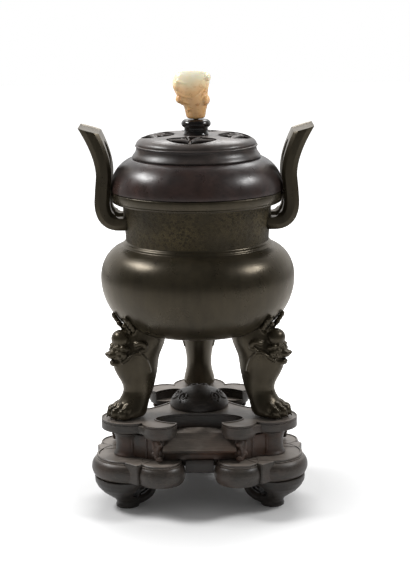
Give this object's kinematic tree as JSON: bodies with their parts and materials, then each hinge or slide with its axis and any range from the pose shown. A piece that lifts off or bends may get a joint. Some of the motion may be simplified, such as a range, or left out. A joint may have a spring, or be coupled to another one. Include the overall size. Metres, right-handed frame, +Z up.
{
  "type": "tripod incense burner",
  "caption": "Tripod bronze incense burner with beast-mask legs and tall loop handles, a domed wooden lid with a carved jade knob, on a three-lobed carved wooden stand with scroll feet.",
  "frame": {"origin": "on the floor, under the middle of the bounding box; the upright axis that the bowl, lid and stand share passes 10.4 mm nearer the viewer", "axes": "+Z up, -Y towards the viewer, +X to the viewer's right through the right handle"},
  "size_m": [0.222, 0.2062, 0.414],
  "materials": {
    "bronze": "dark olive-brown patina, satin",
    "lid_wood": "dark reddish-brown hardwood, polished",
    "dark_wood": "near-black hardwood, polished",
    "stand_wood": "dark brown hardwood, waxed",
    "jade": "cream to honey stone, polished"
  },
  "bodies": {
    "stand": {"stand_top_plate": "stand_wood", "stand_boss": "stand_wood", "stand_base_board": "stand_wood", "waist_block_front_left": "stand_wood", "waist_block_front_right": "stand_wood", "waist_block_rear": "stand_wood", "waist_panel_front": "stand_wood", "waist_panel_right": "stand_wood", "waist_panel_left": "stand_wood", "apron_front_left": "stand_wood", "apron_front_right": "stand_wood", "apron_rear": "stand_wood", "skirt_panel_front": "stand_wood", "skirt_panel_right": "stand_wood", "skirt_panel_left": "stand_wood", "scroll_foot_front_left": "stand_wood", "scroll_foot_front_right": "stand_wood", "scroll_foot_rear": "stand_wood", "bracket_front_a": "stand_wood", "bracket_front_b": "stand_wood", "bracket_right_a": "stand_wood", "bracket_right_b": "stand_wood", "bracket_left_a": "stand_wood", "bracket_left_b": "stand_wood"},
    "censer": {"vessel_body": "bronze", "handle_left": "bronze", "handle_right": "bronze", "leg_front_left": "bronze", "leg_front_right": "bronze", "leg_rear": "bronze"},
    "lid": {"lid_dome": "lid_wood", "lid_crown": "lid_wood", "knob_socle": "dark_wood", "finial_peg": "dark_wood", "jade_finial": "jade"}
  },
  "joints": [
    {"name": "censer_lift", "type": "slide", "parent": "stand", "child": "censer", "axis": [0, 0, 1], "range_m": [0, 0.06]},
    {"name": "lid_lift", "type": "slide", "parent": "censer", "child": "lid", "axis": [0, 0, 1], "range_m": [0, 0.1]}
  ]
}
